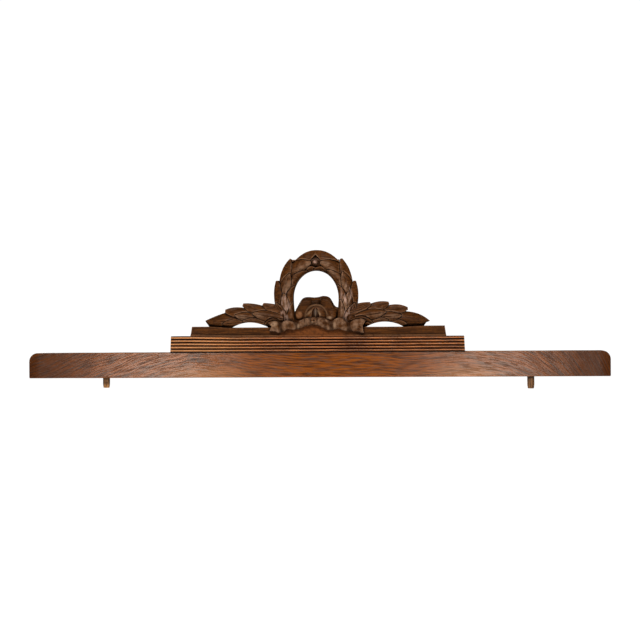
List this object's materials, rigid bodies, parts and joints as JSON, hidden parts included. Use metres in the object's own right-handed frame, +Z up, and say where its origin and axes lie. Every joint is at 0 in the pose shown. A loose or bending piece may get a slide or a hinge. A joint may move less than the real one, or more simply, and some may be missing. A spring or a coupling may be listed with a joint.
{
  "type": "carved furniture pediment",
  "caption": "Carved oak pediment for the top of a cabinet: long rail with rounded corners, reeded block, and a crest with a laurel wreath, a ribbon bow and laurel branches, fixed by pegs.",
  "frame": {"origin": "centre of the rail's underside, where the pediment rests on the furniture below", "axes": "+X along the rail to the right as seen from the carved front, +Y to the flat back, +Z up"},
  "size_m": [1.16, 0.0387, 0.2785],
  "materials": {
    "rail_oak": "waxed, satin",
    "block_oak": "waxed, satin, worn light on the reeds' crests",
    "carved_oak": "dark stained and waxed, satin",
    "left_peg_wood": "bare, matt",
    "right_peg_wood": "bare, matt"
  },
  "bodies": {
    "root": {"bottom_rail": "rail_oak", "reeded_block": "block_oak", "carved_crest": "carved_oak", "left_peg": "left_peg_wood", "right_peg": "right_peg_wood"}
  },
  "joints": []
}
